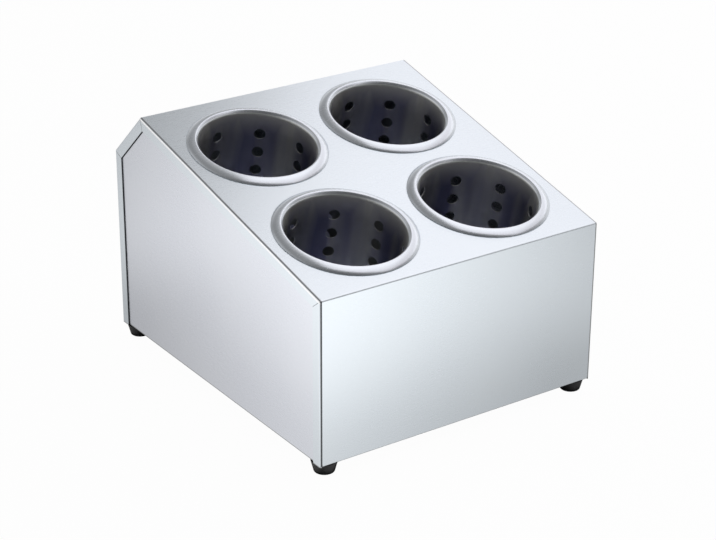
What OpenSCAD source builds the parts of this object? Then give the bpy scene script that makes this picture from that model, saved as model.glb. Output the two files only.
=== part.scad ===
// Counter-top cutlery box. A housing of folded steel sheet with a sloping top carries four
// perforated cups, which hang by their domed rims and lift out, and stands on four rubber feet.
// The origin is on the standing surface under the middle of the box. The front faces -Y.

/* [Housing] */
// Width over the folded side lips
body_w = 270; // [250:1:320]
// Depth from the front face to the rear face
body_d = 315; // [305:1:360]
// Height of the front face, without the feet
front_h = 142; // [136:1:170]
// Height of the ridge, without the feet
ridge_h = 205; // [195:1:225]
// Level distance from the front face to the ridge
ridge_y = 269; // [262:1:285]
// Height of the upright rear face, without the feet
rear_h = 162; // [140:1:175]
// Thickness of the sheet
sheet_t = 1; // [0.8:0.1:1.5]
// Inside radius of the folds
fold_r = 0.6; // [0.4:0.1:1.5]
// Width of the lips that are folded over the side plates
lip_w = 10; // [6:0.5:16]
// Width of the mitre gaps between the lips
mitre_gap = 0.4; // [0.2:0.1:1]
// Width of the flanges along the lower edge
flange_w = 24; // [20:1:32]
// Length of the rear shell's tongue under the sloping top
tongue_l = 12; // [8:1:14]
// Gap between the edge of a side plate and the folds around it
plate_gap = 0.1; // [0.1:0.1:0.5]

/* [Cups] */
// Inside diameter of a cup
cup_bore = 98.4; // [92:0.2:100]
// Depth of a cup below the sloping top
cup_depth = 135; // [118:1:138]
// Thickness of a cup's wall
cup_wall = 0.8; // [0.6:0.1:1.2]
// Distance between cups across the box
cup_pitch_x = 130.5; // [124:0.5:138]
// Distance between cups along the slope
cup_pitch_y = 132; // [124:0.5:138]
// Distance along the slope from the front edge to the front cups
cup_front = 70.3; // [64:0.1:74]
// Diameter of the circle on which a rim rests
rim_d = 117; // [114:0.5:122]
// Height of a rim's crest above the sloping top
rim_h = 3.6; // [3.2:0.1:4.4]
// Width of the flare from the wall to the rim's crest
flare_w = 2.2; // [1.6:0.1:3]
// Angle between the wall and the flare
flare_a = 45; // [42:1:50]
// Inside radius between the wall and the flare
flare_r = 3; // [2:0.1:4]
// Radius under the rim's crest
crest_r = 0.2; // [0.1:0.1:0.5]
// Radial gap between a cup and its hole in the top
cup_gap = 1.2; // [0.8:0.1:1.8]
// Gap under a rim where it rests on the top
rest_gap = 0.02; // [0.01:0.01:0.1]
// Turn of the front left cup in its hole
turn_front_left = 19.9; // [0:0.1:45]
// Turn of the front right cup in its hole
turn_front_right = 27.3; // [0:0.1:45]
// Turn of the rear left cup in its hole
turn_rear_left = 9.3; // [0:0.1:45]
// Turn of the rear right cup in its hole
turn_rear_right = 5.2; // [0:0.1:45]

/* [Cup perforation] */
// Diameter of the holes
hole_d = 9.8; // [6:0.1:12]
// Columns of holes around the wall
hole_columns = 8; // [5:1:10]
// Rows of holes down the wall
hole_rows = 6; // [3:1:6]
// Depth of the first row below the sloping top
hole_first = 18.5; // [14:0.5:19]
// Distance between rows
hole_pitch = 18; // [14:0.1:18.2]
// Holes in the ring of the base
base_holes = 8; // [5:1:9]
// Radius of the ring of holes in the base
base_ring_r = 28; // [24:0.5:32]

/* [Cup base] */
// Thickness of the base disc
base_t = 1; // [0.8:0.1:1.5]
// Rounding of the base's lower edge
base_r = 0.6; // [0.2:0.1:0.7]

/* [Feet] */
// Height of a foot
foot_h = 10.2; // [9:0.1:16]
// Diameter of a foot at its top
foot_top_d = 22; // [20:0.5:24]
// Diameter of a foot at its bottom
foot_bottom_d = 16.6; // [15:0.1:20]
// Distance from the outer faces to the middle of a foot
foot_inset = 11; // [10:0.5:16]
// Diameter of the recess for the screw's head
recess_d = 9.6; // [9:0.1:11]
// Height of the seat of the screw's head
seat_h = 4; // [3.4:0.1:5]
// Diameter of the steel insert in a foot
insert_d = 13; // [12:0.5:14]
// Thickness of the steel insert
insert_t = 1.2; // [0.8:0.1:1.6]

/* [Fasteners] */
// Diameter of the screws
screw_d = 4; // [3:0.5:5]
// Length of the screws below the head
screw_l = 14; // [13:0.5:18]
// Diameter of a screw's head
head_d = 7.6; // [7:0.1:8.6]
// Height of a screw's head
head_h = 2.6; // [2:0.1:3]
// Width of the arms of the cross in a screw's head
cross_w = 1.1; // [0.8:0.1:1.4]
// Length of the arms of the cross in a screw's head
cross_l = 4.4; // [3.6:0.1:5]
// Depth of the cross in a screw's head
cross_h = 1.4; // [1:0.1:1.6]
// Diameter of the washers
washer_d = 9; // [8:0.5:11]
// Thickness of the washers
washer_t = 0.8; // [0.5:0.1:1.2]
// Width of the nuts across their flats
nut_w = 7; // [7:0.5:8]
// Height of the nuts
nut_h = 3.2; // [2.4:0.1:4]
// Extra diameter of the holes that the screws pass through
screw_gap = 0.5; // [0.2:0.1:0.8]
// Extra diameter of the nuts' holes, in place of a thread
thread_gap = 0.2; // [0.1:0.05:0.4]

/* [Hidden] */
$fn = 64;
// Reach of cuts past the faces that they open
past = 1;
// Steps of a quarter round in a folded or rolled section
steps = 6;
fold_out = fold_r + sheet_t;
slope_a = atan((ridge_h - front_h) / ridge_y);
cup_r = cup_bore / 2 + cup_wall;
opening_r = cup_r + cup_gap;
// Radius from which a wall's hole is cut, inside the chord of the hole's edges
hole_reach = sqrt(pow(cup_bore / 2, 2) - pow(hole_d / 2, 2)) - past;
plate_inset = fold_out + plate_gap;
inside_w = body_w - 4 * sheet_t - 2 * plate_gap;
pierce_d = screw_d + screw_gap;
steel = [0.80, 0.81, 0.83];
cup_steel = [0.72, 0.72, 0.74];
zinc = [0.70, 0.71, 0.70];
rubber = [0.06, 0.06, 0.065];

// Side view of the housing, as distance from the front face and height above the lower edge.
// Going round it from the front, the outside is on the left.
outline = [[0, 0], [0, front_h], [ridge_y, ridge_h], [body_d, rear_h], [body_d, 0]];
// Faces between neighbouring corners. Each starts at the corner of the same number.
FRONT = 0;
SLOPE = 1;
REAR_SLOPE = 2;
REAR = 3;

function along(i) = (outline[i + 1] - outline[i]) / norm(outline[i + 1] - outline[i]);
function outward(i) = [-along(i).y, along(i).x];
// Where two faces cross at corner i when they are moved inwards by different depths
function corner(i, before, after) =
    let (a = outward(i - 1), b = outward(i), c = a * b)
    outline[i] + ((c * after - before) * a + (c * before - after) * b) / (1 - c * c);
function arc(centre, r, from, to) =
    [for (k = [0:steps]) let (a = from + (to - from) * k / steps) centre + r * [cos(a), sin(a)]];
function after_first(points) = [for (k = [1:len(points) - 1]) points[k]];
// Fold at corner i, on the outside of the sheet, or on its inside in the other order
function fold(i) =
    let (a = outward(i - 1), start = atan2(a.y, a.x))
    arc(corner(i, fold_out, fold_out), fold_out, start, start - acos(a * outward(i)));
function fold_inside(i) =
    let (b = outward(i), start = atan2(b.y, b.x))
    arc(corner(i, fold_out, fold_out), fold_r, start, start + acos(outward(i - 1) * b));

module side_prism(points, from_x, to_x)
    translate([from_x, -body_d / 2, foot_h])
        rotate([90, 0, 90])
            linear_extrude(to_x - from_x) polygon(points);

module both_sides() {
    children();
    mirror([1, 0, 0]) children();
}

module on_slope(x, y)
    translate([x, -body_d / 2, foot_h + front_h])
        rotate([slope_a, 0, 0])
            translate([0, y, 0]) children();

module at_cups()
    for (x = [-1, 1], y = [0, 1])
        on_slope(x * cup_pitch_x / 2, cup_front + y * cup_pitch_y) children();

module at_foot(side, end)
    translate([side * (body_w / 2 - foot_inset), end * (body_d / 2 - foot_inset), 0]) children();

module at_feet()
    for (side = [-1, 1], end = [-1, 1]) at_foot(side, end) children();

module foot_piercings()
    at_feet() translate([0, 0, foot_h - past]) cylinder(d = pierce_d, h = 2 * (sheet_t + past));

// Section of what the fold at the right side of a face leaves away, as distance from the
// middle and depth below the face
fold_cut_section =
    let (
        round = arc([body_w / 2 - fold_out, fold_out], fold_out, 270, 360),
        before = 2 * round[0] - round[1],
        after = 2 * round[steps] - round[steps - 1]
    )
    concat([before], round, [after, [after.x, before.y]]);

// Rounds the folds between face i and its lips
module side_fold_cuts(i) {
    d = along(i);
    start = outline[i] - past * d;
    both_sides()
        translate([0, start.x - body_d / 2, start.y + foot_h])
            rotate([-atan2(d.x, d.y), 0, 0])
                linear_extrude(norm(outline[i + 1] - outline[i]) + 2 * past) polygon(fold_cut_section);
}

// Lips at both sides of face i, mitred where the next face has lips too. They start half way
// into the sheet. The rear slope's lips start under the sheet of the slope.
module lips(i) {
    root = sheet_t / 2;
    step = along(i) * mitre_gap / 2;
    under = (i == REAR_SLOPE) ? sheet_t : root;
    start = (i == FRONT) ? [[root, 0], [lip_w, 0]]
        : [corner(i, under, root) + step, corner(i, lip_w, lip_w) + step];
    end = (i == REAR) ? [[body_d - lip_w, 0], [body_d - root, 0]]
        : [corner(i + 1, lip_w, lip_w) - step, corner(i + 1, root, root) - step];
    both_sides() side_prism(concat(start, end), body_w / 2 - sheet_t, body_w / 2);
}

module front_top_shell() color(steel)
    difference() {
        union() {
            side_prism(
                concat(
                    [[0, 0]], fold(SLOPE), [outline[REAR_SLOPE], corner(REAR_SLOPE, sheet_t, 0)],
                    fold_inside(SLOPE), [[sheet_t, 0]]
                ),
                -body_w / 2, body_w / 2
            );
            side_prism(
                [[sheet_t / 2, 0], [flange_w, 0], [flange_w, sheet_t], [sheet_t / 2, sheet_t]],
                -inside_w / 2, inside_w / 2
            );
            lips(FRONT);
            lips(SLOPE);
        }
        side_fold_cuts(FRONT);
        side_fold_cuts(SLOPE);
        at_cups() translate([0, 0, -sheet_t - past]) cylinder(r = opening_r, h = sheet_t + 2 * past);
        foot_piercings();
    }

module rear_shell() color(steel) {
    forward = tongue_l * along(SLOPE);
    tongue = [for (depth = [1, 2]) corner(REAR_SLOPE, depth * sheet_t + plate_gap, sheet_t / 2)];
    edge = body_d - sheet_t / 2;
    difference() {
        union() {
            side_prism(
                concat(
                    [corner(REAR_SLOPE, sheet_t, 0)], fold(REAR), [[body_d, 0], [body_d - sheet_t, 0]],
                    fold_inside(REAR), [corner(REAR_SLOPE, sheet_t, sheet_t)]
                ),
                -body_w / 2, body_w / 2
            );
            side_prism(
                [tongue[0], tongue[1], tongue[1] - forward, tongue[0] - forward],
                -inside_w / 2, inside_w / 2
            );
            side_prism(
                [[edge, 0], [edge, sheet_t], [body_d - flange_w, sheet_t], [body_d - flange_w, 0]],
                -inside_w / 2, inside_w / 2
            );
            lips(REAR_SLOPE);
            lips(REAR);
        }
        side_fold_cuts(REAR_SLOPE);
        side_fold_cuts(REAR);
        foot_piercings();
    }
}

// The left side plate, with a flange that lies on the flanges of both shells
module side_plate() color(steel) {
    outer_x = sheet_t - body_w / 2;
    difference() {
        union() {
            side_prism(
                [
                    [plate_inset, sheet_t],
                    for (i = [SLOPE, REAR_SLOPE, REAR]) corner(i, plate_inset, plate_inset),
                    [body_d - plate_inset, sheet_t]
                ],
                outer_x, outer_x + sheet_t
            );
            translate([outer_x, plate_inset - body_d / 2, foot_h + sheet_t])
                cube([flange_w - sheet_t, body_d - 2 * plate_inset, sheet_t]);
        }
        foot_piercings();
    }
}

// Section of a cup's wall and rim, as radius and height above the sloping top. The wall flares
// to the crest of the rim, and the rim falls from there in a dome to its edge on the top.
cup_section = let (
    bore = cup_bore / 2,
    bend_h = rim_h - flare_w / tan(flare_a),
    flare = [bore + flare_r, bend_h - flare_r * tan(flare_a / 2)],
    crest_out = crest_r + cup_wall,
    crest = [bore + flare_w + crest_out * tan(45 - flare_a / 2), rim_h - crest_out],
    reach = rim_d / 2 - crest.x,
    fall = rim_h - cup_wall - rest_gap,
    dome_r = (reach * reach + fall * fall) / (2 * fall),
    dome = [crest.x, rest_gap + fall - dome_r],
    end = acos(reach / dome_r)
) concat(
    [[bore, base_t - cup_depth]],
    arc(flare, flare_r, 180, 180 - flare_a),
    arc(crest, crest_out, 180 - flare_a, 90),
    after_first(arc(dome, dome_r + cup_wall, 90, end)),
    arc(dome, dome_r, end, 90),
    after_first(arc(crest, crest_r, 90, 180 - flare_a)),
    arc(flare, flare_r - cup_wall, 180 - flare_a, 180),
    [[cup_r, base_t - cup_depth]]
);

// Section of a cup's base, a disc under the lower end of the wall
base_section = concat(
    [[0, -cup_depth]],
    arc([cup_r - base_r, base_r - cup_depth], base_r, 270, 360),
    [[cup_r, base_t - cup_depth], [0, base_t - cup_depth]]
);

module cup(x, y, turn) color(cup_steel)
    on_slope(x * cup_pitch_x / 2, cup_front + y * cup_pitch_y) rotate([0, 0, turn])
        difference() {
            rotate_extrude() polygon(cup_section);
            for (row = [0:hole_rows - 1], column = [0:hole_columns - 1])
                rotate([0, 0, column * 360 / hole_columns])
                    translate([hole_reach, 0, -hole_first - row * hole_pitch])
                        rotate([0, 90, 0]) cylinder(d = hole_d, h = cup_r + past - hole_reach);
        }

module cup_base(x, y, turn) color(cup_steel)
    on_slope(x * cup_pitch_x / 2, cup_front + y * cup_pitch_y) rotate([0, 0, turn])
        difference() {
            rotate_extrude() polygon(base_section);
            for (k = [0:base_holes])
                rotate([0, 0, k * 360 / base_holes])
                    translate([(k == base_holes) ? 0 : base_ring_r, 0, -cup_depth - past])
                        cylinder(d = hole_d, h = base_t + 2 * past);
        }

module foot(side, end) color(rubber) at_foot(side, end)
    difference() {
        cylinder(d1 = foot_bottom_d, d2 = foot_top_d, h = foot_h);
        translate([0, 0, -past]) cylinder(d = recess_d, h = seat_h + past);
        translate([0, 0, seat_h]) cylinder(d = insert_d, h = insert_t);
        cylinder(d = pierce_d, h = foot_h + past);
    }

module ring(outer_d, inner_d, h)
    difference() {
        cylinder(d = outer_d, h = h);
        translate([0, 0, -past]) cylinder(d = inner_d, h = h + 2 * past);
    }

module foot_inserts() color(zinc)
    at_feet() translate([0, 0, seat_h]) ring(insert_d, pierce_d, insert_t);

module foot_screws() color(zinc)
    at_feet() translate([0, 0, seat_h])
        difference() {
            union() {
                translate([0, 0, -head_h]) cylinder(d = head_d, h = head_h);
                cylinder(d = screw_d, h = screw_l);
            }
            for (turn = [0, 90])
                rotate([0, 0, turn])
                    translate([-cross_l / 2, -cross_w / 2, -head_h - past])
                        cube([cross_l, cross_w, cross_h + past]);
        }

module foot_washers() color(zinc)
    at_feet() translate([0, 0, foot_h + 2 * sheet_t]) ring(washer_d, pierce_d, washer_t);

module foot_nuts() color(zinc)
    at_feet() translate([0, 0, foot_h + 2 * sheet_t + washer_t])
        difference() {
            cylinder(d = nut_w / cos(30), h = nut_h, $fn = 6);
            translate([0, 0, -past]) cylinder(d = screw_d + thread_gap, h = nut_h + 2 * past);
        }

front_top_shell();
rear_shell();
side_plate();  // left_side_plate
mirror([1, 0, 0]) side_plate();  // right_side_plate
cup(-1, 0, turn_front_left);  // front_left_cup
cup(1, 0, turn_front_right);  // front_right_cup
cup(-1, 1, turn_rear_left);  // rear_left_cup
cup(1, 1, turn_rear_right);  // rear_right_cup
cup_base(-1, 0, turn_front_left);  // front_left_cup_base
cup_base(1, 0, turn_front_right);  // front_right_cup_base
cup_base(-1, 1, turn_rear_left);  // rear_left_cup_base
cup_base(1, 1, turn_rear_right);  // rear_right_cup_base
foot(-1, -1);  // front_left_foot
foot(1, -1);  // front_right_foot
foot(-1, 1);  // rear_left_foot
foot(1, 1);  // rear_right_foot
foot_inserts();
foot_screws();
foot_washers();
foot_nuts();
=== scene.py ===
# %% [markdown]
# # A counter-top cutlery box
# The box is folded from satin steel sheet. Its top slopes towards the user and carries four
# perforated cups that hang by their domed rims and lift out. It stands on four rubber feet.
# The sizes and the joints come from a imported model, which is loaded first and never moved.
# The pieces below are laid over it in the same frame: metres, +Z up, the front towards -Y.

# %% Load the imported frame
import math
import bmesh
import bpy
import numpy as np
from mathutils import Matrix, Vector


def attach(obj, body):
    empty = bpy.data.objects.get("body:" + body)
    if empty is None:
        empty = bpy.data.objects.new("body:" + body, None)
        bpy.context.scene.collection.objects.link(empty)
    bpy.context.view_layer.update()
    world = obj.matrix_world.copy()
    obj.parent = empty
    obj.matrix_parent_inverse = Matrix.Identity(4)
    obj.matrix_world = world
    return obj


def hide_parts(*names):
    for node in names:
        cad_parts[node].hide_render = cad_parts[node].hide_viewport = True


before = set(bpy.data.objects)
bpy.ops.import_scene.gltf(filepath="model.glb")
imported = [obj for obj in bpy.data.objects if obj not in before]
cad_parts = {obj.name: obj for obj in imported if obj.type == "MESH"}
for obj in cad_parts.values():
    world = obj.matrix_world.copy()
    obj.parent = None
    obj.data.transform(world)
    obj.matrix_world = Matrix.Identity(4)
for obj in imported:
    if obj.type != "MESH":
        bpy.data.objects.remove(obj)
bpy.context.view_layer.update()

# %% [markdown]
# ## Sizes
# The real box is a drawing before it is a box, so its sizes come first. They repeat the packed
# model's sizes in millimetres. Blender works in metres, so points are scaled once, where they
# become vertices.

# %% Sizes of the box, in millimetres
MM = 0.001
body_w, body_d = 270, 315
front_h, ridge_h, ridge_y, rear_h = 142, 205, 269, 162
slope = math.atan2(ridge_h - front_h, ridge_y)
sheet_t, fold_r, lip_w = 1, 0.6, 10
fold_out = fold_r + sheet_t
mitre_gap, mitre_run = 0.4, 0.8  # width of a mitre, and the length over which it opens
relief_cut, fit_gap = 0.6, 0.1  # notch beyond a fold, and the air between two sheets
flange_w, tongue_l = 24, 12
foot_h, foot_inset = 10.2, 11
cup_bore, cup_wall, cup_depth, base_t = 98.4, 0.8, 135, 1
cup_pitch_x, cup_pitch_y, cup_front, opening_r = 130.5, 132, 70.3, 51.2
cups = {  # side, row, and turn in degrees
    "front_left": (-1, 0, 19.9), "front_right": (1, 0, 27.3),
    "rear_left": (-1, 1, 9.3), "rear_right": (1, 1, 5.2),
}
print("slope of the top:", round(math.degrees(slope), 2), "degrees")

# %% [markdown]
# ## The profile of the folded sheet
# A sheet-metal part is drawn as its side view: straight faces joined by folds. The outside line
# of the housing has five corners. A face can be moved inwards by a depth, and two moved faces
# cross at a corner, which gives the inner lines, the centres of the folds and the mitres of the
# lips. Doing this with plain numbers keeps every edge exactly where the drawing puts it.

# %% Corners and folds of the side view
outline = np.array(
    [[0, 0], [0, front_h], [ridge_y, ridge_h], [body_d, rear_h], [body_d, 0]], float
)
FRONT, SLOPE, REAR_SLOPE, REAR = range(4)


def along(i):
    run = outline[i + 1] - outline[i]
    return run / np.linalg.norm(run)


def outward(i):
    return np.array([-along(i)[1], along(i)[0]])


def corner(i, before, after):
    """Where the faces before and after corner i cross, each moved inwards by its own depth."""
    a, b = outward(i - 1), outward(i)
    c = a @ b
    return outline[i] + ((c * after - before) * a + (c * before - after) * b) / (1 - c * c)


def turned(a, b, share):
    """The unit vector on the way from direction a to direction b."""
    angle = math.acos(np.clip(a @ b, -1, 1))
    return (math.sin((1 - share) * angle) * a + math.sin(share * angle) * b) / math.sin(angle)


def place(x, point):
    """A vertex of the housing from its place across the box and its point in the side view."""
    return Vector((x, point[0] - body_d / 2, point[1] + foot_h)) * MM


print("centre of the front fold:", corner(SLOPE, fold_out, fold_out).round(3))

# %% [markdown]
# ## Folded shells
# Two shells make the housing: one bends over the front and the top, the other over the back.
# Along both sides each face is folded round by a small radius into a lip that holds the side
# plate. A block with bevelled edges would look similar from afar, but it would have no lips, no
# mitre gaps and no sheet edges. So only the outer skin is drawn here, as strips of the side
# view, and a Solidify modifier gives it the sheet's thickness towards the inside.

# %% Strips of the outer skin
inner_x = body_w / 2 - fold_out
narrow_x = body_w / 2 - 2 * sheet_t - fit_gap
relief = fold_out + relief_cut
fold_steps = 10
quarter_turn = np.linspace(0, math.pi / 2, fold_steps + 1)


def add_face(bm, points):
    bm.faces.new([bm.verts.new(place(x, p)) for x, p in points])


def mirrored_face(bm, half):
    """A face across the whole box, from the points of its right half."""
    add_face(bm, half + [(-x, p) for x, p in reversed(half)])


def side_strips(bm, start, end, stops):
    """The rounded folds and the flat lips at both sides of a face. start and end give the points
    where the face begins and ends at a depth, and stops are the shares of its length between."""
    rows = [
        (inner_x + fold_out * math.sin(a), fold_out * (1 - math.cos(a))) for a in quarter_turn
    ]
    gap_full = fold_out + mitre_run
    for side in (-1, 1):
        for (x0, d0), (x1, d1) in zip(rows, rows[1:]):
            for s0, s1 in zip(stops, stops[1:]):
                patch = [(x0, d0, s0), (x0, d0, s1), (x1, d1, s1), (x1, d1, s0)]
                add_face(bm, [(side * x, start(d) * (1 - s) + end(d) * s) for x, d, s in patch])
        edge = [start(fold_out) * (1 - s) + end(fold_out) * s for s in stops]
        edge += [end(gap_full), end(lip_w), start(lip_w), start(gap_full)]
        add_face(bm, [(side * body_w / 2, p) for p in edge])


def wide_fold(bm, i):
    """The fold at corner i between two faces that both have lips, with its two rounded ends."""
    centre = corner(i, fold_out, fold_out)
    around = [turned(outward(i - 1), outward(i), k / fold_steps) for k in range(fold_steps + 1)]
    across = [inner_x + fold_out * math.sin(a) for a in quarter_turn]
    radii = [fold_out * math.cos(a) for a in quarter_turn]
    for n0, n1 in zip(around, around[1:]):
        mirrored_face(bm, [(inner_x, centre + fold_out * n) for n in (n0, n1)])
        for side in (-1, 1):
            for k in range(fold_steps):
                patch = [(k, n0), (k + 1, n0), (k + 1, n1), (k, n1)]
                add_face(bm, [(side * across[j], centre + radii[j] * n) for j, n in patch])


def narrow_flange(bm, before, at, after, side=1):
    """A flange between the side plates, from point before, folded at point at towards after.
    side is 1 if the outside is on the left of that way. Returns where the fold ends."""
    u, v = (at - before) / np.linalg.norm(at - before), (after - at) / np.linalg.norm(after - at)
    half = math.acos(u @ v) / 2
    out_u, out_v = side * np.array([-u[1], u[0]]), side * np.array([-v[1], v[0]])
    centre = at - fold_out * math.tan(half) * u - fold_out * out_u
    shares = [k / fold_steps for k in range(fold_steps + 1)]
    arc = [centre + fold_out * turned(out_u, out_v, share) for share in shares]
    points = [before] + arc
    for p, q in zip(points, points[1:]):
        mirrored_face(bm, [(narrow_x, p), (narrow_x, q)])
    return arc[-1]


print("strips: lips", lip_w, "mm wide, folds", fold_out, "mm outside radius")

# %% [markdown]
# ### Ends of the faces
# Where two faces with lips meet, the lips are cut to a mitre. The gap starts as nothing at the
# fold and is full width a little further in, as it is on a nibbled sheet. Below, each face gets
# one function for its start and one for its end, so that strips, folds and lips agree.

# %% Starts and ends of the four faces
def mitre(i, face, depth, sign, from_depth):
    """A point of the mitre at corner i, moved along its face by half of the gap."""
    share = np.clip((depth - from_depth) / mitre_run, 0, 1)
    return corner(i, depth, depth) + sign * along(face) * share * mitre_gap / 2


def fold_edge(i, face, depth, sign):
    """Where a face meets the fold at corner i, at a depth, and below the fold its mitre."""
    if depth <= fold_out:
        return corner(i, fold_out, fold_out) + (fold_out - depth) * outward(face)
    return mitre(i, face, depth, sign, fold_out)


ridge_gap = along(REAR_SLOPE) * mitre_gap / 2


def front_start(d): return np.array([d, 0.0])
def front_end(d): return fold_edge(SLOPE, FRONT, d, -1)
def slope_start(d): return fold_edge(SLOPE, SLOPE, d, 1)
def slope_end(d): return mitre(REAR_SLOPE, SLOPE, d, -1, 0)
def rear_slope_start(d): return corner(REAR_SLOPE, max(d, sheet_t), d) + ridge_gap
def rear_slope_end(d): return fold_edge(REAR, REAR_SLOPE, d, -1)
def rear_start(d): return fold_edge(REAR, REAR, d, 1)
def rear_end(d): return np.array([body_d - d, 0.0])


print("slope runs from", slope_start(0).round(2), "to", slope_end(0).round(2))

# %% [markdown]
# ### Finishing a sheet
# Strips are made one by one, so their shared corners are merged first. Then the normals are
# turned outwards, Solidify adds the thickness, and Weighted Normal lets each large flat face
# keep its own flat shading right up to the fold. Without it the flats would show false
# gradients. The result is baked to a plain mesh. Solidify also gives the cut edges a slot of
# their own, because a sheared edge is rougher than the sheet.

# %% From skin to sheet
same_corner = 0.002  # corners nearer than this, in millimetres, become one
sharp_angle = math.radians(35)


def to_plain_mesh(obj, name):
    """Bakes an object's modifiers into a new plain mesh object, which takes its place."""
    depsgraph = bpy.context.evaluated_depsgraph_get()
    mesh = bpy.data.meshes.new_from_object(obj.evaluated_get(depsgraph), depsgraph=depsgraph)
    bpy.data.meshes.remove(obj.data)
    mesh.name = name
    piece = bpy.data.objects.new(name, mesh)
    bpy.context.scene.collection.objects.link(piece)
    return piece


def thicken(obj, thickness, slots):
    """Adds the sheet's thickness, and puts the cut edges one slot after the faces."""
    for _ in slots:
        obj.data.materials.append(None)
    solid = obj.modifiers.new("sheet thickness", "SOLIDIFY")
    solid.thickness, solid.offset, solid.use_even_offset = thickness * MM, -1, True
    solid.material_offset_rim = 1
    return solid


def finish_sheet(bm, name, outside):
    """outside is a point and a direction: the face nearest to the point looks that way."""
    bmesh.ops.remove_doubles(bm, verts=bm.verts, dist=same_corner * MM)
    bmesh.ops.recalc_face_normals(bm, faces=bm.faces)
    point, direction = outside
    nearest = min(bm.faces, key=lambda f: (f.calc_center_median() - point).length)
    if nearest.normal.dot(direction) < 0:
        bmesh.ops.reverse_faces(bm, faces=bm.faces)
    mesh = bpy.data.meshes.new(name + "_skin")
    bm.to_mesh(mesh)
    bm.free()
    mesh.shade_smooth()
    skin = bpy.data.objects.new(name + "_skin", mesh)
    bpy.context.scene.collection.objects.link(skin)
    thicken(skin, sheet_t, ("faces", "cut edges"))
    thick = to_plain_mesh(skin, name + "_thick")
    thick.data.set_sharp_from_angle(angle=sharp_angle)
    normals = thick.modifiers.new("flat faces stay flat", "WEIGHTED_NORMAL")
    normals.mode, normals.weight, normals.keep_sharp = "FACE_AREA", 100, True
    piece = to_plain_mesh(thick, name)
    print(name, "has", len(piece.data.polygons), "faces")
    return piece


# %% [markdown]
# ### Front and top
# One sheet: a flange below, the front, a fold, and the sloping top with four round holes. The
# holes are punched in the flat blank. Filling between the rim of the top and the four circles
# with triangles does the same, and a flat face shows no triangles.

# %% The front and top shell
hole_steps = 96


def cup_middle(name):
    """The middle of a cup's hole: its place across the box and along the slope."""
    side, row, _ = cups[name]
    return side * cup_pitch_x / 2, cup_front + row * cup_pitch_y


def slope_point(x, v):
    """A point on the sloping top from its place across the box and along the slope."""
    return place(x, outline[SLOPE] + v * along(SLOPE))


def ring_of_edges(bm, points):
    verts = [bm.verts.new(p) for p in points]
    return [bm.edges.new((a, b)) for a, b in zip(verts, verts[1:] + verts[:1])]


bm = bmesh.new()
low = narrow_flange(bm, np.array([flange_w, 0.0]), outline[0], outline[1])
top_z = front_end(0)[1]
side_strips(bm, front_start, front_end, [0, relief / top_z, 1])
mirrored_face(bm, [
    (narrow_x, low), (narrow_x, [0, relief]), (inner_x, [0, relief]), (inner_x, [0, top_z]),
])
wide_fold(bm, SLOPE)
side_strips(bm, slope_start, slope_end, [0, 1])
first, last = slope_start(0), slope_end(0)
corners = [(-inner_x, first), (inner_x, first), (inner_x, last), (-inner_x, last)]
edges = ring_of_edges(bm, [place(x, p) for x, p in corners])
turns = [2 * math.pi * k / hole_steps for k in range(hole_steps)]
for name in cups:
    x, v = cup_middle(name)
    edges += ring_of_edges(bm, [
        slope_point(x + opening_r * math.cos(t), v + opening_r * math.sin(t)) for t in turns
    ])
bmesh.ops.triangle_fill(bm, use_beauty=True, edges=edges)
mid_front = place(0, [0, front_h / 2])
front_top = finish_sheet(bm, "front_top_sheet", (mid_front, Vector((0, -1, 0))))

# %% [markdown]
# ### Back
# The second sheet starts with a tongue under the end of the sloping top, where it is welded,
# bends down over a short rear slope to the upright back, and ends in a flange like the front's.

# %% The rear shell
bm = bmesh.new()
ridge = corner(REAR_SLOPE, sheet_t + fit_gap, 0)
upper = narrow_flange(bm, ridge - tongue_l * along(SLOPE), ridge, outline[REAR])
length = np.linalg.norm(rear_slope_end(0) - rear_slope_start(0))
side_strips(bm, rear_slope_start, rear_slope_end, [0, relief / length, 1])
notch = rear_slope_start(0) + relief * along(REAR_SLOPE)
mirrored_face(bm, [
    (narrow_x, upper), (narrow_x, notch), (inner_x, notch), (inner_x, rear_slope_end(0)),
])
wide_fold(bm, REAR)
lower = narrow_flange(bm, np.array([body_d - flange_w, 0.0]), outline[4], outline[3], side=-1)
height = rear_start(0)[1]
side_strips(bm, rear_start, rear_end, [0, 1 - relief / height, 1])
mirrored_face(bm, [
    (narrow_x, lower), (narrow_x, [body_d, relief]),
    (inner_x, [body_d, relief]), (inner_x, [body_d, height]),
])
mid_rear = place(0, [body_d, rear_h / 2])
rear = finish_sheet(bm, "rear_sheet", (mid_rear, Vector((0, 1, 0))))

# %% [markdown]
# ## Building trees of Geometry Nodes
# The cups are perforated sheet and the feet are turned parts. Both follow a rule, so a tree of
# nodes describes them better than a list of vertices: change an input and the piece follows.
# The small helpers below add a node, fill its sockets and wire it in one line.

# %% Helpers for node trees
same_point = 1e-6  # points nearer than this, in metres, become one


def new_tree(name, inputs):
    """A Geometry Nodes tree with named inputs. Returns the tree and the sockets of its inputs."""
    tree = bpy.data.node_groups.new(name, "GeometryNodeTree")
    tree.interface.new_socket("Geometry", in_out="OUTPUT", socket_type="NodeSocketGeometry")
    for label, kind, value in inputs:
        socket = tree.interface.new_socket(label, in_out="INPUT", socket_type="NodeSocket" + kind)
        if value is not None:
            socket.default_value = value
    given = tree.nodes.new("NodeGroupInput")
    return tree, {s.name: s for s in given.outputs if s.name}


def set_input(tree, socket, value):
    """Wires an input to another socket or gives it a value. None leaves it as it is."""
    if isinstance(value, bpy.types.NodeSocket):
        tree.links.new(value, socket)
    elif value is not None:
        socket.default_value = value


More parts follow.
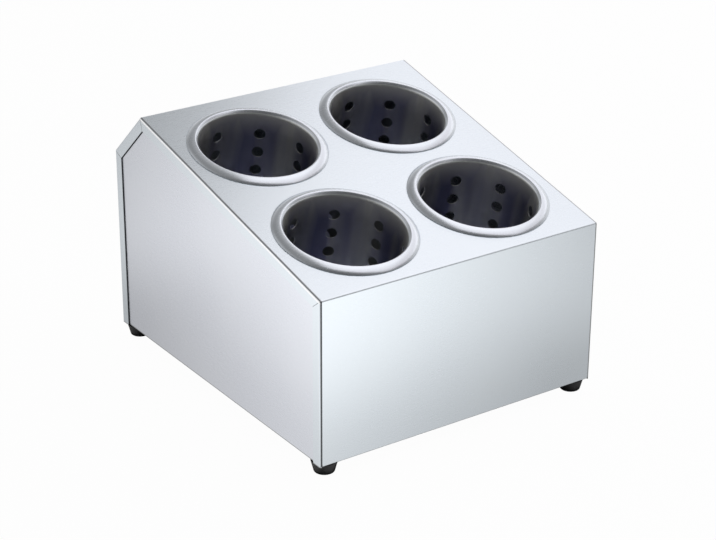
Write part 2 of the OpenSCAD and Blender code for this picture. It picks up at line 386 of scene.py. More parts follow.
def make(tree, kind, inputs, **settings):
    """Adds a node, sets its properties, and fills inputs by their names or numbers."""
    made = tree.nodes.new(kind)
    for key, value in settings.items():
        setattr(made, key, value)
    for key, value in inputs.items():
        set_input(tree, made.inputs[key], value)
    return made


def add(tree, kind, *values, **settings):
    """Adds a node, fills its enabled inputs in order and returns its first enabled output."""
    made = make(tree, kind, {}, **settings)
    for socket, value in zip([s for s in made.inputs if s.enabled], values):
        set_input(tree, socket, value)
    return next(s for s in made.outputs if s.enabled)


def maths(tree, operation, *values):
    return add(tree, "ShaderNodeMath", *values, operation=operation)


def vector(tree, x=0.0, y=0.0, z=0.0):
    return add(tree, "ShaderNodeCombineXYZ", x, y, z)


def split(tree, v):
    return make(tree, "ShaderNodeSeparateXYZ", {0: v}).outputs


def spun(tree, out, turn, height=0.0):
    """A point at a distance from the upright axis, turned round it by an angle."""
    x = maths(tree, "MULTIPLY", out, maths(tree, "COSINE", turn))
    y = maths(tree, "MULTIPLY", out, maths(tree, "SINE", turn))
    return vector(tree, x, y, height)


def moved(tree, geometry, **inputs):
    """Moves or turns a geometry by the named inputs of a Transform node."""
    return make(tree, "GeometryNodeTransform", {"Geometry": geometry, **inputs}).outputs[0]


def by_index(tree, kind, values):
    """A field that gives each point its own value by its number."""
    made = make(tree, "GeometryNodeIndexSwitch", {}, data_type=kind)
    while len(made.index_switch_items) < len(values):
        made.index_switch_items.new()
    set_input(tree, made.inputs["Index"], add(tree, "GeometryNodeInputIndex"))
    for k, value in enumerate(values):
        set_input(tree, made.inputs[k + 1], value)
    return made.outputs[0]


def filleted_line(tree, points, radii, steps, closed=False):
    """A line through points in the XZ plane, rounded at each by its own radius."""
    places = by_index(tree, "VECTOR", [vector(tree, r, 0.0, h) for r, h in points])
    line = add(tree, "GeometryNodeMeshLine", len(points), None, None, None)
    line = add(tree, "GeometryNodeMeshToCurve", line)
    line = add(tree, "GeometryNodeSetPosition", line, None, places)
    line = add(tree, "GeometryNodeSetSplineCyclic", line, None, closed)
    radius = by_index(tree, "FLOAT", radii)
    return make(tree, "GeometryNodeFilletCurve", {
        "Curve": line, "Radius": radius, "Count": steps, "Limit Radius": False,
    }, mode="POLY").outputs[0]


def run_tree(tree, name, values, thickness=None):
    """Runs a tree on an empty mesh object and bakes the result, with a wall if it asks for one.
    Slot 0 of a wall stays blank, because the tree puts its own material after it."""
    holder = bpy.data.objects.new(name + "_tree", bpy.data.meshes.new(name + "_empty"))
    bpy.context.scene.collection.objects.link(holder)
    modifier = holder.modifiers.new(tree.name, "NODES")
    modifier.node_group = tree
    for item in tree.interface.items_tree:
        if item.in_out == "INPUT" and item.name in values:
            modifier[item.identifier] = values[item.name]
    if thickness:
        solid = thicken(holder, thickness, ("blank", "faces", "cut edges", "far side"))
        solid.material_offset = 2
    piece = to_plain_mesh(holder, name)
    piece.data.shade_smooth()
    piece.data.set_sharp_from_angle(angle=sharp_angle)
    print(name, "has", len(piece.data.polygons), "faces")
    return piece


print("node helpers ready")

# %% [markdown]
# ## Perforated cups
# A real cup is perforated flat and rolled into a tube. Its upper edge is then flared to a crest
# and turned over into a domed rim. The tree does the same: it makes one flat cell with a round
# hole, repeats it in columns and rows, adds plain strips above and below, and rolls the blank
# round the section of the cup. Cutting 48 holes with booleans would leave ragged edges on the
# curved wall. A flat cell has clean rings of faces round its hole, and they bend without a trace.

# %% The tree of a cup
cell_steps, cell_rings = 16, 4  # faces along a cell's side, and rows of points round its hole
bend_steps, lower_rows, rim_rows = 14, 4, 64


def cup_tree():
    tree, given = new_tree("perforated_cup", [
        ("Columns", "Int", 8), ("Rows", "Int", 6), ("Hole Diameter", "Float", 0.0098),
        ("First Row", "Float", 0.0185), ("Row Pitch", "Float", 0.018),
        ("Bore", "Float", cup_bore * MM), ("Lower Edge", "Float", (base_t - cup_depth) * MM),
        ("Rim Diameter", "Float", 0.117), ("Rim Height", "Float", 0.0036),
        ("Crest Diameter", "Float", 0.1028), ("Crest Radius", "Float", 0.001),
        ("Flare Angle", "Float", math.radians(45)), ("Flare Radius", "Float", 0.003),
        ("Wall", "Float", cup_wall * MM), ("Rest Gap", "Float", 0.00002),
        ("Turn", "Float", 0.0), ("Slope", "Float", 0.0), ("Middle", "Vector", None),
        ("Material", "Material", None),
    ])

    def m(operation, *values):
        return maths(tree, operation, *values)

    # The dome is an arc that leaves the crest level. Its underside ends on the circle of rest.
    girth, radius = m("MULTIPLY", given["Bore"], math.pi), m("DIVIDE", given["Bore"], 2.0)
    crest, high = m("DIVIDE", given["Crest Diameter"], 2.0), given["Rim Height"]
    lean = given["Flare Angle"]
    bend_at = m("SUBTRACT", high, m("DIVIDE", m("SUBTRACT", crest, radius), m("TANGENT", lean)))
    half_turn = m("DIVIDE", m("SUBTRACT", math.pi / 2, lean), 2.0)
    start = m("ADD", crest, m("MULTIPLY", given["Crest Radius"], m("TANGENT", half_turn)))
    reach = m("SUBTRACT", m("DIVIDE", given["Rim Diameter"], 2.0), start)
    fall = m("SUBTRACT", m("SUBTRACT", high, given["Wall"]), given["Rest Gap"])
    squares = m("ADD", m("MULTIPLY", reach, reach), m("MULTIPLY", fall, fall))
    under = m("DIVIDE", squares, m("MULTIPLY", fall, 2.0))
    dome, bend = m("ADD", under, given["Wall"]), m("ARCSINE", m("DIVIDE", reach, under))
    peak = m("ADD", start, m("MULTIPLY", dome, m("TANGENT", m("DIVIDE", bend, 2.0))))
    edge_r = m("ADD", start, m("MULTIPLY", dome, m("SINE", bend)))
    edge_h = m("SUBTRACT", high, m("MULTIPLY", dome, m("SUBTRACT", 1.0, m("COSINE", bend))))
    section = filleted_line(
        tree,
        [(radius, given["Lower Edge"]), (radius, bend_at), (crest, high), (peak, high),
         (edge_r, edge_h)],
        [0.0, given["Flare Radius"], given["Crest Radius"], dome, 0.0], bend_steps,
    )
    length = add(tree, "GeometryNodeCurveLength", section)

    # One cell: rings of faces from a circle out to the edge of a rectangle
    cell_w, cell_h = m("DIVIDE", girth, given["Columns"]), given["Row Pitch"]
    grid = add(tree, "GeometryNodeMeshGrid", 1.0, 1.0, 4 * cell_steps + 1, cell_rings)
    x, y, _ = split(tree, add(tree, "GeometryNodeInputPosition"))
    quarters = m("MULTIPLY", m("ADD", x, 0.5), 4.0)
    quarter = m("MINIMUM", m("FLOOR", m("ADD", quarters, 0.001)), 3.0)
    across = m("SUBTRACT", m("MULTIPLY", m("SUBTRACT", quarters, quarter), 2.0), 1.0)
    square_turn = m("MULTIPLY", quarter, math.pi / 2)
    angle = m("ADD", square_turn, m("MULTIPLY", across, math.pi / 4))
    circle = spun(tree, m("DIVIDE", given["Hole Diameter"], 2.0), angle)
    square = vector(tree, 1.0, across)
    square = add(tree, "ShaderNodeVectorRotate", square, None, None, square_turn)
    half_cell = vector(tree, m("DIVIDE", cell_w, 2.0), m("DIVIDE", cell_h, 2.0))
    square = add(tree, "ShaderNodeVectorMath", square, half_cell, operation="MULTIPLY")
    away = add(tree, "ShaderNodeVectorMath", square, circle, operation="SUBTRACT")
    part_way = {0: away, "Scale": m("ADD", y, 0.5)}
    away = make(tree, "ShaderNodeVectorMath", part_way, operation="SCALE").outputs[0]
    spot = add(tree, "ShaderNodeVectorMath", circle, away, operation="ADD")
    cell = add(tree, "GeometryNodeSetPosition", grid, None, spot)
    cell = add(tree, "GeometryNodeFlipFaces", cell)

    # The blank: cells in columns and rows, and plain strips below and above them
    rows_h = m("MULTIPLY", given["Rows"], cell_h)
    spots = add(
        tree, "GeometryNodeMeshGrid", m("SUBTRACT", girth, cell_w), m("SUBTRACT", rows_h, cell_h),
        given["Columns"], given["Rows"],
    )
    cells = add(tree, "GeometryNodeInstanceOnPoints", spots, None, cell)
    cells = add(tree, "GeometryNodeRealizeInstances", cells)
    first = m("SUBTRACT", m("MULTIPLY", given["First Row"], -1.0), given["Lower Edge"])
    top = m("ADD", first, m("DIVIDE", cell_h, 2.0))
    bottom = m("SUBTRACT", top, rows_h)
    around = m("ADD", m("MULTIPLY", given["Columns"], float(cell_steps)), 1.0)

    def centred(geometry, low, high):
        middle = m("DIVIDE", m("ADD", low, high), 2.0)
        return moved(tree, geometry, Translation=vector(tree, 0.0, middle))

    def strip(low, high, rows):
        flat = add(tree, "GeometryNodeMeshGrid", girth, m("SUBTRACT", high, low), around, rows)
        return centred(flat, low, high)

    join = tree.nodes.new("GeometryNodeJoinGeometry")
    plain = [strip(0.0, bottom, lower_rows), strip(top, length, rim_rows)]
    for part in [centred(cells, bottom, top)] + plain:
        tree.links.new(part, join.inputs[0])
    blank = add(tree, "GeometryNodeMergeByDistance", join.outputs[0], None, same_point)

    # Rolling the blank round the section, with its flat place kept as a UV map
    x, y, _ = split(tree, add(tree, "GeometryNodeInputPosition"))
    flat_place = vector(tree, m("ADD", m("DIVIDE", x, girth), 0.5), m("DIVIDE", y, length))
    blank = add(
        tree, "GeometryNodeStoreNamedAttribute", blank, None, "UVMap", flat_place,
        data_type="FLOAT2", domain="CORNER",
    )
    sample = make(
        tree, "GeometryNodeSampleCurve", {"Curves": section, "Length": y},
        mode="LENGTH", use_all_curves=True,
    )
    out, _, height = split(tree, sample.outputs["Position"])
    rolled = spun(tree, out, m("DIVIDE", x, radius), height)
    wall = add(tree, "GeometryNodeSetPosition", blank, None, rolled)
    wall = add(tree, "GeometryNodeMergeByDistance", wall, None, same_point)
    wall = add(tree, "GeometryNodeFlipFaces", wall)

    # Turned in its hole, leaned with the slope and put in its place
    first_column = m("ADD", given["Turn"], m("DIVIDE", math.pi, given["Columns"]))
    wall = moved(tree, wall, Rotation=vector(tree, 0.0, 0.0, first_column))
    leaned = vector(tree, given["Slope"])
    wall = moved(tree, wall, Rotation=leaned, Translation=given["Middle"])
    wall = add(tree, "GeometryNodeRealizeInstances", wall)
    wall = add(tree, "GeometryNodeSetMaterial", wall, None, given["Material"])
    tree.links.new(wall, tree.nodes.new("NodeGroupOutput").inputs[0])
    return tree


perforated_cup = cup_tree()
print("cup tree:", len(perforated_cup.nodes), "nodes")

# %% [markdown]
# ## Rubber feet
# A foot is a turned rubber part with a recess for its screw and a pocket for a steel insert. The
# tree rounds the corners of its section, spins it and puts a copy at each corner of the box. A
# cylinder would miss the taper and the soft lower edge that catches the light.

# %% The tree of the feet
foot_sides, edge_steps = 72, 8


def feet_tree():
    tree, given = new_tree("rubber_feet", [
        ("Height", "Float", foot_h * MM), ("Top Diameter", "Float", 0.022),
        ("Bottom Diameter", "Float", 0.0166), ("Recess Diameter", "Float", 0.0096),
        ("Seat Height", "Float", 0.004), ("Insert Diameter", "Float", 0.013),
        ("Insert Thickness", "Float", 0.0012), ("Piercing", "Float", 0.0045),
        ("Edge Radius", "Float", 0.0012), ("Small Radius", "Float", 0.0004),
        ("Distance X", "Float", (body_w - 2 * foot_inset) * MM),
        ("Distance Y", "Float", (body_d - 2 * foot_inset) * MM),
        ("Material", "Material", None),
    ])

    def m(operation, *values):
        return maths(tree, operation, *values)

    def half(label):
        return m("DIVIDE", given[label], 2.0)

    top, seat, small = given["Height"], given["Seat Height"], given["Small Radius"]
    ceiling = m("ADD", seat, given["Insert Thickness"])
    section = filleted_line(
        tree,
        [(half("Recess Diameter"), seat), (half("Recess Diameter"), 0.0),
         (half("Bottom Diameter"), 0.0), (half("Top Diameter"), top), (half("Piercing"), top),
         (half("Piercing"), ceiling), (half("Insert Diameter"), ceiling),
         (half("Insert Diameter"), seat)],
        [0.0, small, given["Edge Radius"], small, 0.0, 0.0, 0.0, 0.0], edge_steps, closed=True,
    )

    # A sheet with one row for each point of the section, wrapped round the axis
    size = make(tree, "GeometryNodeAttributeDomainSize", {0: section}, component="CURVE")
    count = size.outputs["Point Count"]
    grid = add(tree, "GeometryNodeMeshGrid", 1.0, 1.0, foot_sides + 1, m("ADD", count, 1.0))
    x, y, _ = split(tree, add(tree, "GeometryNodeInputPosition"))
    row = m("ROUND", m("MULTIPLY", m("ADD", y, 0.5), count))
    sample = make(tree, "GeometryNodeSampleIndex", {
        "Geometry": section, "Value": add(tree, "GeometryNodeInputPosition"),
        "Index": m("FLOORED_MODULO", row, count),
    }, data_type="FLOAT_VECTOR", domain="POINT")
    out, _, height = split(tree, sample.outputs[0])
    turn = m("MULTIPLY", m("ADD", x, 0.5), 2 * math.pi)
    foot = add(tree, "GeometryNodeSetPosition", grid, None, spun(tree, out, turn, height))
    foot = add(tree, "GeometryNodeMergeByDistance", foot, None, same_point)
    places = add(tree, "GeometryNodeMeshGrid", given["Distance X"], given["Distance Y"], 2, 2)
    feet = add(tree, "GeometryNodeInstanceOnPoints", places, None, foot)
    feet = add(tree, "GeometryNodeRealizeInstances", feet)
    feet = add(tree, "GeometryNodeSetMaterial", feet, None, given["Material"])
    tree.links.new(feet, tree.nodes.new("NodeGroupOutput").inputs[0])
    return tree


rubber_feet = feet_tree()
print("feet tree:", len(rubber_feet.nodes), "nodes")

# %% [markdown]
# ## Finishes
# All of the housing and the cups is stainless steel, so what the eye sees is mostly what the
# metal mirrors. A single colour and roughness would look like plastic film, because real metal
# varies. The helpers below make noise, spread it over a range and turn it into colour or relief.

# %% Helpers for finishes
def new_finish(name):
    material = bpy.data.materials.new(name)
    material.use_nodes = True
    tree = material.node_tree
    shader = next(n for n in tree.nodes if n.type == "BSDF_PRINCIPLED")
    return material, tree, shader


def fill_shader(tree, shader, colour, rough, normal=None, metal=0.0):
    named = {"Base Color": colour, "Roughness": rough, "Normal": normal, "Metallic": metal}
    for label, value in named.items():
        set_input(tree, shader.inputs[label], value)


def object_place(tree):
    return tree.nodes.new("ShaderNodeTexCoord").outputs["Object"]


def noise(tree, coordinates, scale, detail=3.0, stretch=(1, 1, 1)):
    """A noise texture on stretched coordinates. Returns its value socket."""
    mapping = make(tree, "ShaderNodeMapping", {"Vector": coordinates, "Scale": stretch})
    return make(tree, "ShaderNodeTexNoise", {
        "Vector": mapping.outputs[0], "Scale": scale, "Detail": detail,
    }).outputs[0]


def map_range(tree, value, *levels, soft=False):
    """Maps a value from the first pair of levels to the second pair, with soft ends if asked."""
    made = make(tree, "ShaderNodeMapRange", {"Value": value})
    if soft:
        made.interpolation_type = "SMOOTHSTEP"
    for label, level in zip(("From Min", "From Max", "To Min", "To Max"), levels):
        made.inputs[label].default_value = level
    return made.outputs[0]


def ranged(tree, value, low, high):
    """Spreads the middle of a noise value over a range."""
    return map_range(tree, value, 0.3, 0.7, low, high)


def tint(tree, share, low, high):
    """A colour between two colours."""
    made = make(tree, "ShaderNodeMix", {0: share}, data_type="RGBA")
    for k, colour in ((6, low), (7, high)):
        wired = isinstance(colour, bpy.types.NodeSocket)
        set_input(tree, made.inputs[k], colour if wired else (*colour, 1))
    return made.outputs[2]


def bump(tree, height, strength, distance):
    return make(tree, "ShaderNodeBump", {
        "Height": height, "Strength": strength, "Distance": distance,
    }).outputs[0]


def speckled(name, scale, detail, colours, rough, metal=0.0, pits=None):
    """A finish with one noise in its colour, its roughness and its pits."""
    material, tree, shader = new_finish(name)
    specks = noise(tree, object_place(tree), scale, detail)
    colour = tint(tree, ranged(tree, specks, 0, 1), *colours)
    normal = bump(tree, specks, *pits) if pits else None
    fill_shader(tree, shader, colour, ranged(tree, specks, *rough), normal, metal)
    return material


print("finish helpers ready")

# %% [markdown]
# ### Sheet of the housing
# Rolling leaves fine lines in one direction, and hands leave large soft patches that are a
# little duller. Both are noise: the fine one is drawn out along the grain and feeds the bump and
# the roughness, the large one only shifts the roughness and the tint. Over them the finish paints
# light and shade by place: a painted dark reflection on the outer half of each fold, a painted
# highlight on the strip of lip beside the slope, a painted shadow in the joint beside the lips
# and painted shade along the lower edges. These lines are thinner than a millimetre, so they are
# drawn by place in the finish, not cut as geometry.

# %% Sheet steel of the housing, with its grain along one axis
grain_scale, patch_scale = 4000, 9
# The sheet's painted light and shade: a dark reflection on each fold, a highlight beside the
# slope, a shadow in each joint and shade along the lower edges
painted_fold_depth, fold_in = 0.37, 0.4  # depth of a fold's dark part, and how far inside it begins
highlight_from, highlight_to = 0.6, 2.2  # depths of the bright strip beside the slope
# line_w is the width of the painted shadow in a joint and of the painted shade at a lower edge
line_w = 0.8  # width of the dark line along a joint or a lower edge
lower_edge_shade = (0.40, 0.41, 0.42)


def sheet_steel(name, stretch, dull, bright, lines):
    """lines is a function giving painted light and shade: pairs of a mask and a colour."""
    material, tree, shader = new_finish(name)
    at = object_place(tree)
    grain, patches = noise(tree, at, grain_scale, 2, stretch), noise(tree, at, patch_scale)
    colour = tint(tree, ranged(tree, patches, 0, 1), dull, bright)
    # The lines lay their painted light and shade over the colour of the steel
    for mask, drawn in lines(tree, *split(tree, at)):
        colour = tint(tree, mask, colour, drawn)
    rough = maths(tree, "ADD", ranged(tree, grain, 0.25, 0.29), ranged(tree, patches, 0, 0.03))
    fill_shader(tree, shader, colour, rough, bump(tree, grain, 0.005, 0.000004), metal=1)
    return material


def less(tree, value, limit): return maths(tree, "LESS_THAN", value, limit * MM)
def more(tree, value, limit): return maths(tree, "GREATER_THAN", value, limit * MM)
def both(tree, a, b): return maths(tree, "MULTIPLY", a, b)


def depth_below(tree, i, y, z):
    """How deep a point lies below an outer face."""
    n = outward(i)
    level = (outline[i] @ n - body_d / 2 * n[0] + foot_h * n[1]) * MM
    out = maths(tree, "ADD", maths(tree, "MULTIPLY", y, n[0]), maths(tree, "MULTIPLY", z, n[1]))
    return maths(tree, "SUBTRACT", level, out)


def shell_painted_light(tree, x, y, z):
    """Painted: dark reflections on the folds, a highlight beside the slope, shade at the lower
    edge.
    """
    beside, depth = maths(tree, "ABSOLUTE", x), depth_below(tree, SLOPE, y, z)
    # fold, left and right paint a dark reflection on the outer half of the folds: the folds of
    # the slope, and the upright front folds, the left one darkest
    front = less(tree, y, painted_fold_depth - body_d / 2)
    left = both(tree, front, less(tree, x, fold_in - inner_x))
    right = both(tree, front, more(tree, x, inner_x - fold_in))
    fold = both(tree, less(tree, depth, painted_fold_depth), more(tree, beside, inner_x - fold_in))
    # strip paints a highlight on the lip just below each fold of the slope
    strip = both(tree, more(tree, depth, highlight_from), less(tree, depth, highlight_to))
    strip = both(tree, strip, more(tree, beside, body_w / 2 - highlight_from))
    # low paints shade along the lower edge of the sheet
    low = less(tree, z, foot_h + line_w)
    return [(strip, (0.90, 0.90, 0.91)), (fold, (0.40, 0.41, 0.43)), (left, (0.10, 0.105, 0.11)),
            (right, (0.36, 0.37, 0.38)), (low, lower_edge_shade)]


def plate_painted_shade(tree, x, y, z):
    """A painted shadow in the joint beside the lips, and painted shade at the lower edge."""
    least = depth_below(tree, FRONT, y, z)
    for i in (SLOPE, REAR_SLOPE, REAR):
        least = maths(tree, "MINIMUM", least, depth_below(tree, i, y, z))
    # joint paints a shadow on the plate beside the lips
    joint = less(tree, least, lip_w + line_w)
    # low paints shade along the lower edge of the plate
    low = less(tree, z, foot_h + sheet_t + line_w)
    return [(joint, (0.05, 0.052, 0.055)), (low, lower_edge_shade)]


shell_steel = sheet_steel(
    "shell_finish", (0.03, 1, 1), (0.735, 0.785, 0.83), (0.76, 0.81, 0.85), shell_painted_light
)
plate_steel = sheet_steel(
    "side_plate_finish", (1, 0.03, 1), (0.75, 0.77, 0.83), (0.78, 0.80, 0.85), plate_painted_shade
)
# The cut edges are darker than the sheet: partly the dull oxide of a sheared edge, partly painted
# shade in the gap where a lip lies on a side plate
cut_edge = speckled(
    "cut_edge_finish", 1500, 2, ((0.10, 0.105, 0.11), (0.18, 0.185, 0.19)), (0.5, 0.5), metal=1
)
print("sheet finishes:", shell_steel.name, plate_steel.name, cut_edge.name)

# %% [markdown]
# ### Steel of the cups
# The blank of a cup is polished from rim to base, so its noise runs along the UV map of the
# blank and goes round the wall with it. Object coordinates would cut straight through the tube.
# Inside, broad dark bands stand for the dim and bluish reflections of one wall in the other, and
# they fade towards the rim, where light falls in. The outside has paler bands of a neutral grey.
# The torn edges of the punched holes are dull and pale, so they catch light as thin crescents.

# %% Finishes of the cups
wall_end = (0.914, 0.93)  # where the wall gives way to the rim, as a share of the section
fade = (0.76, 0.92)  # between these shares the wall grows duller and paler


def cup_finish(name, dark=None, bright=None):
    """dark and bright are the colours of the bands on a wall. Without them the steel is plain."""
    material, tree, shader = new_finish(name)
    at = tree.nodes.new("ShaderNodeTexCoord").outputs["UV" if dark else "Object"]
    streaks = noise(tree, at, 60, 3, (4, 0.25, 1) if dark else (9, 9, 9))
    colour = tint(tree, ranged(tree, streaks, 0, 1), (0.70, 0.735, 0.785), (0.72, 0.755, 0.80))
    rough = ranged(tree, streaks, 0.245, 0.275)
    if dark:
        height = split(tree, at)[1]
        on_wall = map_range(tree, height, *wall_end, 1.0, 0.0)
        upper = map_range(tree, height, *fade, 0.04, 0.24)
        bands = ranged(tree, noise(tree, at, 10, 2, (1.1, 0.05, 1)), -0.2, 1.32)
        bands = maths(tree, "MAXIMUM", bands, maths(tree, "MULTIPLY", upper, 4.0))
        colour = tint(tree, on_wall, colour, tint(tree, bands, dark, bright))
        rough = maths(tree, "ADD", rough, maths(tree, "MULTIPLY", on_wall, upper))
    fill_shader(tree, shader, colour, rough, bump(tree, streaks, 0.01, 0.00005), metal=1)
    return material


cup_steel = cup_finish("cup_wall_finish", (0.25, 0.26, 0.46), (1.0, 1.0, 0.94))
cup_outside = cup_finish("cup_outside_finish", (0.50, 0.52, 0.55), (0.84, 0.86, 0.89))
base_steel = cup_finish("cup_base_finish")
punched_edge = speckled(
    "punched_edge_finish", 1500, 2, ((0.90, 0.90, 0.92), (0.97, 0.97, 0.98)), (0.5, 0.5),
    metal=0.3,
)
print("cup finishes:", cup_steel.name, cup_outside.name, base_steel.name, punched_edge.name)

# %% [markdown]
# ### Rubber and zinc
# Moulded rubber is nearly black and has fine pores. The screws, nuts, washers and inserts of the
# feet are zinc plated, with a soft spangle. One noise is enough for each.

# %% Finishes of the feet and the fasteners
foot_rubber = speckled(
    "foot_finish", 1400, 4, ((0.010, 0.010, 0.011), (0.018, 0.018, 0.019)), (0.5, 0.62),
    pits=(0.15, 0.00005),
)
zinc_steel = speckled(
    "fastener_finish", 500, 3, ((0.60, 0.61, 0.61), (0.70, 0.71, 0.69)), (0.28, 0.42),
    metal=1, pits=(0.05, 0.00003),
)
print("small finishes:", foot_rubber.name, zinc_steel.name)

# %% [markdown]
# ## Putting the pieces on their bodies
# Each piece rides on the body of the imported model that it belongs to, and stands for the node
# that it was made from. Nodes whose shape is already right only get a finish.

# %% Shells
for piece, node in ((front_top, "front_top_shell"), (rear, "rear_shell")):
    piece.data.materials[0], piece.data.materials[1] = shell_steel, cut_edge
    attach(piece, "housing")
    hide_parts(node)
    print(piece.name, "stands for", node)

# %% Cups
for name, (_, _, turn) in cups.items():
    middle = slope_point(*cup_middle(name))
    cup = run_tree(perforated_cup, name + "_perforated_cup", {
        "Turn": math.radians(turn), "Slope": slope, "Middle": middle[:], "Material": cup_steel,
    }, thickness=cup_wall)
    cup.data.materials.append(punched_edge)
    cup.data.materials.append(cup_outside)
    cup.data.materials.pop(index=0)
    edges = sum(face.material_index == 1 for face in cup.data.polygons)
    print(name, "cup:", edges, "faces on punched edges,", [m.name for m in cup.data.materials])
    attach(cup, "cup_" + name)
    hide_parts(name + "_cup")

# %% Feet
feet = run_tree(rubber_feet, "rubber_feet", {"Material": foot_rubber})
bm = bmesh.new()
bm.from_mesh(feet.data)
bmesh.ops.recalc_face_normals(bm, faces=bm.faces)
bm.to_mesh(feet.data)
bm.free()
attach(feet, "housing")
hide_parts(*[name + "_foot" for name in cups])

# %% Nodes that keep their shape
kept = {"left_side_plate": plate_steel, "right_side_plate": plate_steel}
kept.update({name + "_cup_base": base_steel for name in cups})
fasteners = ("foot_inserts", "foot_screws", "foot_washers", "foot_nuts")
kept.update({name: zinc_steel for name in fasteners})
for name, material in kept.items():
    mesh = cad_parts[name].data
    mesh.materials.clear()
    mesh.materials.append(material)
print("nodes with a new finish:", len(kept))

# %% [markdown]
# ## Floor and light
# Steel shows what it mirrors, so the surroundings are as much a part of its finish as its own
# nodes. The floor is pale paper: nearly white to the camera, with the box's faint shadow on it
# and painted shade below the box. What the steel mirrors of it is painted light and shade: a pool
# of light brightest round the front left corner, painted shade near the box and under it, and
# painted darkness far in front. Light Path tells the two apart. A plain white floor would leave
# the faces without form.

# %% The floor
bpy.ops.mesh.primitive_plane_add(size=9)
floor = bpy.context.object
floor.name = "floor"
pale, tree, shader = new_finish("pale_floor")
fill_shader(tree, shader, (0.86, 0.86, 0.87, 1), 0.9)
shader.inputs["Specular IOR Level"].default_value = 0.1
seen_white = 0.975  # share of plain white in what the camera sees of the paper
# The levels of the painted light on the floor that the steel mirrors, and of its painted shade
# under the box
at_middle, least, under_box = 0.82, 0.54, 0.03  # levels of what the steel mirrors


def calc(operation, *values):
    return maths(tree, operation, *values)


def graded(value, *levels):
    """A soft step: from the first pair of values to the second pair."""
    return map_range(tree, value, *levels, soft=True)


def towards(parts, weights):
    """How far a place or a direction lies that way: the sum of its parts by their weights."""
    total = None
    for part, weight in zip(parts, weights):
        if weight:
            product = calc("MULTIPLY", part, weight)
            total = product if total is None else calc("ADD", total, product)
    return total


x, y, _ = split(tree, object_place(tree))
out_x = calc("SUBTRACT", calc("ABSOLUTE", x), body_w / 2 * MM)
out_y = calc("SUBTRACT", calc("ABSOLUTE", y), body_d / 2 * MM)
off_x, off_y = calc("MAXIMUM", out_x, 0.0), calc("MAXIMUM", out_y, 0.0)
away = calc("SQRT", calc("ADD", calc("POWER", off_x, 2.0), calc("POWER", off_y, 2.0)))

# What the steel mirrors is painted: a pool of light as a ramp with a cap, shade near the box and
# under it, and darkness far in front
cap = graded(towards((x, y), (-0.82, -0.57)), 0.25, 0.45, 1.45, 1.0)
ramp = calc("MINIMUM", calc("ADD", towards((x, y), (-2.2, -1.75)), at_middle), cap)
shaded = calc("MULTIPLY", ramp, graded(away, 0.0, 0.26, 0.60, 1.0))
# The painted reflection of the floor grows dark far in front
paper = calc("MULTIPLY", calc("MAXIMUM", shaded, least), graded(y, -1.1, -0.65, 0.2, 1.0))
not_under = calc("MAXIMUM", calc("GREATER_THAN", away, 0.0), under_box)
strength = calc("MULTIPLY", paper, not_under)
painted_floor_light = make(tree, "ShaderNodeEmission", {"Strength": strength}).outputs[0]

# What the camera sees: white paper, with painted shade below the box
below = graded(calc("MAXIMUM", calc("MULTIPLY", out_x, 1.4), out_y), -0.048, -0.027, 0.12, 1.0)
white = make(tree, "ShaderNodeEmission", {"Strength": below}).outputs[0]
path = tree.nodes.new("ShaderNodeLightPath").outputs
share = calc("MULTIPLY", path["Is Camera Ray"], seen_white)
for mix in ({0: share, 2: white}, {0: path["Is Glossy Ray"], 2: painted_floor_light}):
    shader = make(tree, "ShaderNodeMixShader", {1: shader.outputs[0], **mix})
end = next(n for n in tree.nodes if n.type == "OUTPUT_MATERIAL")
tree.links.new(shader.outputs[0], end.inputs[0])
floor.data.materials.append(pale)
print("floor:", len(tree.nodes), "nodes in its finish")

# %% [markdown]
# One large soft box hangs over the box and to its right. The sloping top and the rims mirror it.
# Its left edge runs along the line of sight, so the top darkens softly towards its rear left
# corner. The world is a pale room that only the steel sees: bright low down on the right, dim
# above, with a halo round the soft box that dies away to its right, dim in front on the left
# where the camera stands, and brighter on the left and behind. The rims show all of it in turn.

# %% Lamp and world
size = (3.8, 2.2)
lamp = bpy.data.lights.new("soft_box", "AREA")
lamp.shape, lamp.size, lamp.size_y = "RECTANGLE", *size
lamp.energy = 0.82 * math.pi * size[0] * size[1]
lamp.color = (1, 0.97, 1)
soft_box = bpy.data.objects.new("soft_box", lamp)
bpy.context.scene.collection.objects.link(soft_box)
soft_box.location = (1.638, 0.318, 1.5)
soft_box.rotation_euler = (0, 0, math.radians(50))

world = bpy.data.worlds.new("studio")
bpy.context.scene.world = world
world.use_nodes = True
tree = world.node_tree
sky = tree.nodes["Background"]
sky.inputs["Color"].default_value = (1, 1, 1, 1)
way = split(tree, tree.nodes.new("ShaderNodeTexCoord").outputs["Generated"])
room_level = 0.28


def area(weights, across, upright):
    """A soft area of the room: a step towards a direction, times a step by height."""
    return calc("MULTIPLY", graded(towards(way, weights), *across), graded(way[2], *upright))


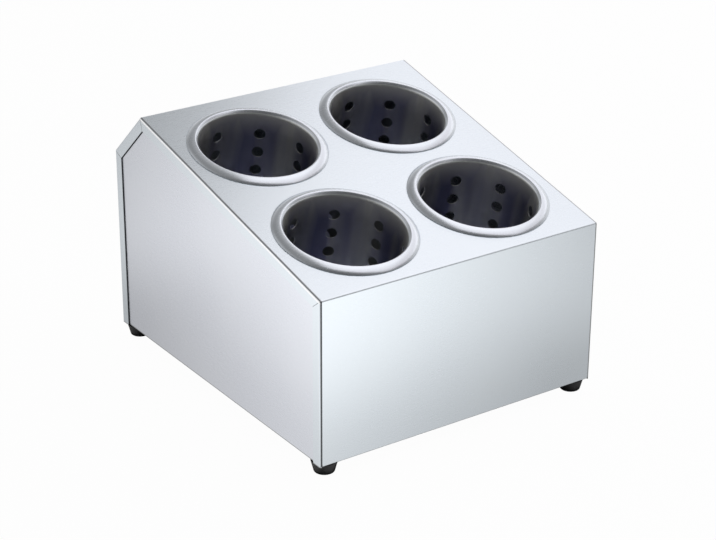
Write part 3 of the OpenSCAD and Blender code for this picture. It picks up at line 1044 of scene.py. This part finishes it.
low_band = area((1, 0, 0), (-0.1, 0.35, 0.4, 1.0), (0.02, 0.42, 0.62, 0.0))
far_wall = area((0.8, 0.6, 0), (0.3, 0.9, 0.0, 1.0), (0.2, 0.65, 0.62, 0.0))
beyond_box = area((0.8, 0, -0.6), (0.015, 0.1, 0.0, 0.26), (0.45, 0.58, 0.0, 1.0))
rear_left = area((-0.64, 0.77, 0), (0.8, 0.97, 0.0, 0.6), (0.08, 0.35, 1.0, 0.0))
left_wall = area((-0.9, 0.44, 0), (0.45, 0.75, 0.0, 0.35), (0.65, 0.8, 1.0, 0.0))
near_box = calc("SUBTRACT", towards(way, (0.41, 0.287, 0.866)), 0.76)
near_box = calc("DIVIDE", calc("MAXIMUM", near_box, 0.0), 0.23)
halo = calc("MULTIPLY", calc("POWER", near_box, 2.0), 0.22)
by_camera = graded(towards(way, (-0.57, -0.82, 0)), 0.2, 0.85, 1.0, 0.3)

level = calc("ADD", calc("ADD", calc("MAXIMUM", low_band, far_wall), room_level), halo)
level = calc("MULTIPLY", calc("SUBTRACT", level, beyond_box), by_camera)
level = calc("ADD", calc("ADD", level, rear_left), left_wall)
path = tree.nodes.new("ShaderNodeLightPath").outputs
tree.links.new(calc("MAXIMUM", level, path["Is Camera Ray"]), sky.inputs["Strength"])
print("soft box:", size, "m at", [round(v, 2) for v in soft_box.location])

# %% [markdown]
# ## Camera
# The camera was fitted to the corners of the box and to the ellipses of the rims: it looks down
# on the front left corner from far away, with a long lens. The numbers are its direction round
# the box, its height angle, its roll, its distance and the small shift of its aim.

# %% The camera
az, el, roll = (math.radians(a) for a in (-34.654, 24.406, 0.307))
aim_h, distance, aim_right, aim_up = 100.2, 1766.476, 6.67, -14.01
focal_px, picture_px, sensor_w = 2095.139, 716, 36
back = Vector((math.sin(az) * math.cos(el), -math.cos(az) * math.cos(el), math.sin(el)))
flat_right = Vector((0, 0, 1)).cross(back).normalized()
flat_up = back.cross(flat_right)
right = math.cos(roll) * flat_right + math.sin(roll) * flat_up
up = -math.sin(roll) * flat_right + math.cos(roll) * flat_up
spot = Vector((0, 0, aim_h)) + back * distance + right * aim_right + up * aim_up
lens = bpy.data.cameras.new("camera")
lens.lens, lens.sensor_width = focal_px / picture_px * sensor_w, sensor_w
lens.sensor_fit = "HORIZONTAL"
lens.clip_start, lens.clip_end = 0.05, 50
camera = bpy.data.objects.new("camera", lens)
bpy.context.scene.collection.objects.link(camera)
view = Matrix((right, up, back)).transposed().to_4x4()
camera.matrix_world = Matrix.Translation(spot * MM) @ view
bpy.context.scene.camera = camera
bpy.context.scene.view_settings.view_transform = "Standard"
print("camera at", [round(v, 3) for v in camera.matrix_world.translation])
